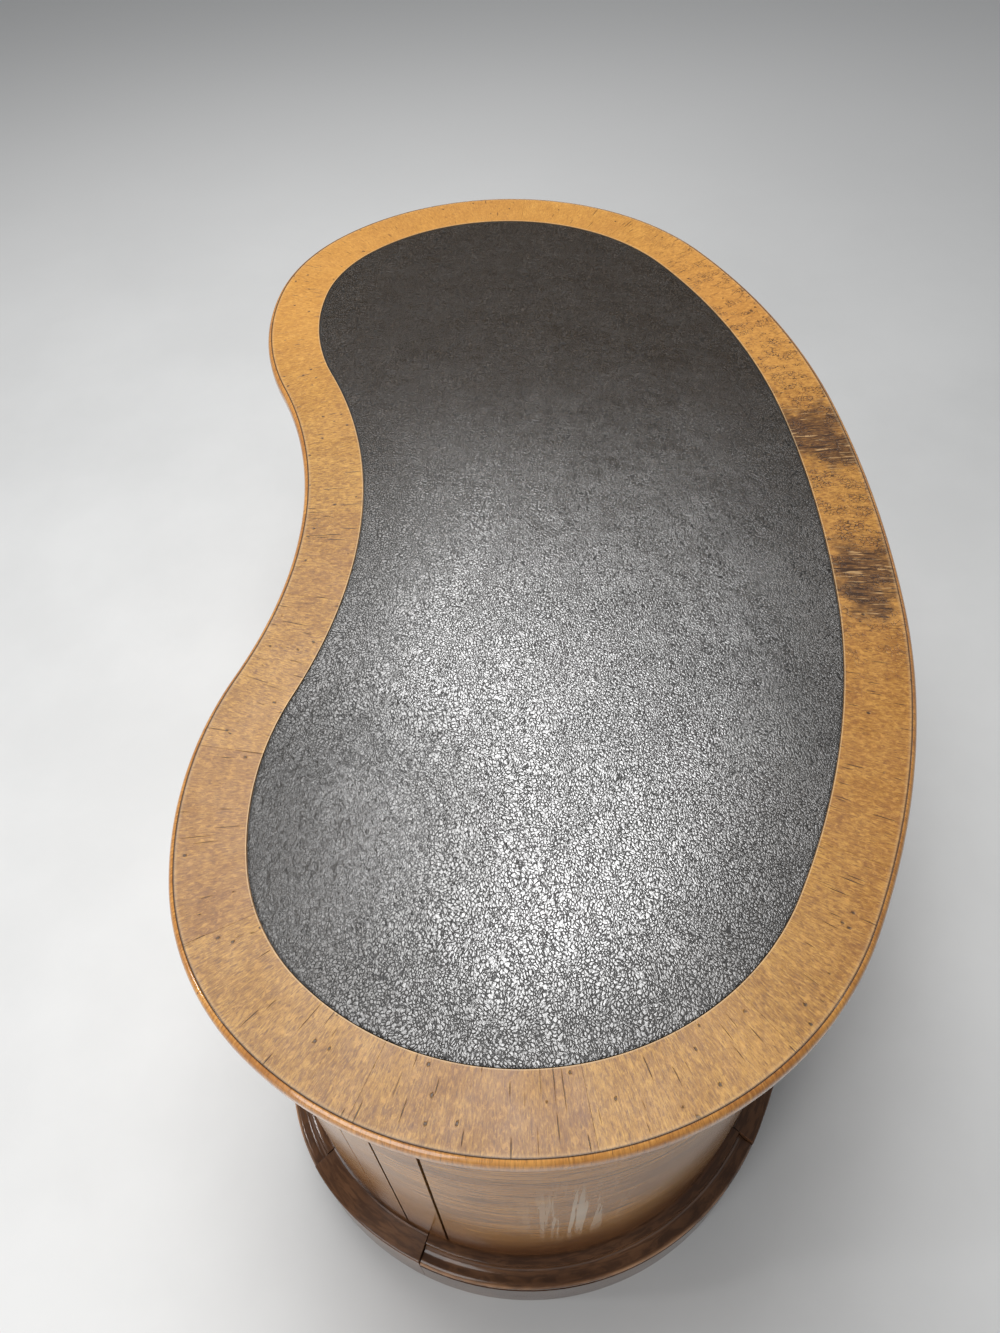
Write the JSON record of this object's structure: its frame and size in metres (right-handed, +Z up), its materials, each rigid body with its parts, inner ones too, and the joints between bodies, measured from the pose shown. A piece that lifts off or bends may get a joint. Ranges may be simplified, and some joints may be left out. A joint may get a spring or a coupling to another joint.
{
  "type": "kidney-shaped desk",
  "caption": "Kidney-shaped pedestal writing desk with a leather-inset crossbanded top, curved panelled walls, a moulded plinth and bow-fronted drawers on its hollow side.",
  "frame": {"origin": "middle of the floor below the desk's bounding box", "axes": "+X along the desk's length, to the right of someone sitting at it; +Y from the hollow writing side to the rounded back; +Z up"},
  "size_m": [1.506, 0.7994, 0.76],
  "materials": {
    "border_veneer": "worn french polish",
    "lipping_wood": "worn french polish",
    "wall_veneer": "gloss polish",
    "plinth_wood": "gloss polish",
    "inner_wood": "bare planed wood",
    "desk_leather": "worn, waxed leather",
    "brass": "aged polished brass"
  },
  "bodies": {
    "carcase": {"back_panel": "wall_veneer", "back_plinth": "plinth_wood", "crossbanding": "border_veneer", "edge_lipping": "lipping_wood", "frieze_rail": "wall_veneer", "front_top_rail": "wall_veneer", "leather_inset": "desk_leather", "left_back_post": "wall_veneer", "left_bottom_board": "inner_wood", "left_drawer_guides": "inner_wood", "left_dust_boards": "inner_wood", "left_end_panel": "wall_veneer", "left_front_post": "wall_veneer", "left_front_stile": "wall_veneer", "left_inner_plinth": "plinth_wood", "left_kneehole_cheek": "wall_veneer", "left_plinth_blocks": "plinth_wood", "left_plinth_mouldings": "plinth_wood", "middle_runners": "inner_wood", "right_back_post": "wall_veneer", "right_bottom_board": "inner_wood", "right_drawer_guides": "inner_wood", "right_dust_boards": "inner_wood", "right_end_panel": "wall_veneer", "right_front_post": "wall_veneer", "right_front_stile": "wall_veneer", "right_inner_plinth": "plinth_wood", "right_kneehole_cheek": "wall_veneer", "right_plinth_blocks": "plinth_wood", "right_plinth_mouldings": "plinth_wood", "top_board": "inner_wood"},
    "right_upper_drawer": {"right_upper_drawer_bottom": "inner_wood", "right_upper_drawer_front": "wall_veneer", "right_upper_drawer_knob": "brass", "right_upper_drawer_sides": "inner_wood"},
    "right_middle_drawer": {"right_middle_drawer_bottom": "inner_wood", "right_middle_drawer_front": "wall_veneer", "right_middle_drawer_knob": "brass", "right_middle_drawer_sides": "inner_wood"},
    "right_lower_drawer": {"right_lower_drawer_bottom": "inner_wood", "right_lower_drawer_front": "wall_veneer", "right_lower_drawer_knob": "brass", "right_lower_drawer_sides": "inner_wood"},
    "left_upper_drawer": {"left_upper_drawer_bottom": "inner_wood", "left_upper_drawer_front": "wall_veneer", "left_upper_drawer_knob": "brass", "left_upper_drawer_sides": "inner_wood"},
    "left_middle_drawer": {"left_middle_drawer_bottom": "inner_wood", "left_middle_drawer_front": "wall_veneer", "left_middle_drawer_knob": "brass", "left_middle_drawer_sides": "inner_wood"},
    "left_lower_drawer": {"left_lower_drawer_bottom": "inner_wood", "left_lower_drawer_front": "wall_veneer", "left_lower_drawer_knob": "brass", "left_lower_drawer_sides": "inner_wood"},
    "frieze_drawer": {"frieze_drawer_bottom": "inner_wood", "frieze_drawer_front": "wall_veneer", "frieze_drawer_knobs": "brass", "frieze_drawer_sides": "inner_wood"}
  },
  "joints": [
    {"name": "right_upper_drawer_slide", "type": "slide", "parent": "carcase", "child": "right_upper_drawer", "axis": [0, -1, 0], "range_m": [0, 0.32]},
    {"name": "right_middle_drawer_slide", "type": "slide", "parent": "carcase", "child": "right_middle_drawer", "axis": [0, -1, 0], "range_m": [0, 0.32]},
    {"name": "right_lower_drawer_slide", "type": "slide", "parent": "carcase", "child": "right_lower_drawer", "axis": [0, -1, 0], "range_m": [0, 0.32]},
    {"name": "left_upper_drawer_slide", "type": "slide", "parent": "carcase", "child": "left_upper_drawer", "axis": [0, -1, 0], "range_m": [0, 0.32]},
    {"name": "left_middle_drawer_slide", "type": "slide", "parent": "carcase", "child": "left_middle_drawer", "axis": [0, -1, 0], "range_m": [0, 0.32]},
    {"name": "left_lower_drawer_slide", "type": "slide", "parent": "carcase", "child": "left_lower_drawer", "axis": [0, -1, 0], "range_m": [0, 0.32]},
    {"name": "frieze_drawer_slide", "type": "slide", "parent": "carcase", "child": "frieze_drawer", "axis": [0, -1, 0], "range_m": [0, 0.26]}
  ]
}
